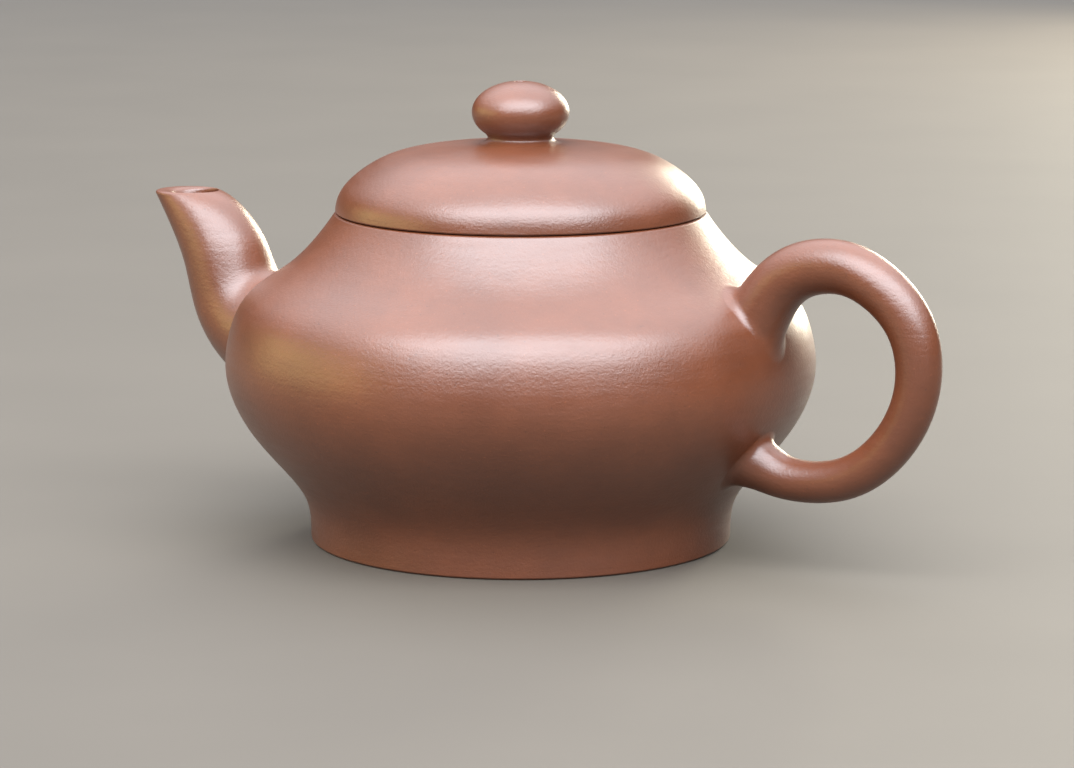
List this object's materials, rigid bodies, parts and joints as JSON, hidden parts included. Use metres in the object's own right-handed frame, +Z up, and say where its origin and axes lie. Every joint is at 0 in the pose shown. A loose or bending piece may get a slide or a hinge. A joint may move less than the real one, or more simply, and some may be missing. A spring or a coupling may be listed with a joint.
{
  "type": "teapot",
  "caption": "Small unglazed red clay teapot with a waisted belly, flared foot, level-topped short spout, round ear handle and a lift-off domed lid with a ball knob.",
  "frame": {"origin": "centre of the foot, on the surface that the teapot stands on", "axes": "+Z up along the pot's axis, +X towards the handle, -X towards the spout, Y across; the pot is symmetric about the XZ plane"},
  "size_m": [0.1471, 0.0952, 0.074],
  "materials": {
    "red_clay": "satin",
    "red_clay_dark": "matte"
  },
  "bodies": {
    "pot": {"foot_ring": "red_clay", "base_disc": "red_clay_dark", "belly_wall": "red_clay", "shoulder_disc": "red_clay", "neck_ring": "red_clay", "mouth_rim": "red_clay", "spout": "red_clay", "strainer": "red_clay_dark", "handle": "red_clay"},
    "lid": {"lid_dome": "red_clay", "lid_flange": "red_clay_dark", "lid_knob": "red_clay"}
  },
  "joints": [
    {"name": "lid_lift", "type": "slide", "parent": "pot", "child": "lid", "axis": [0, 0, 1], "range_m": [0, 0.06]}
  ]
}
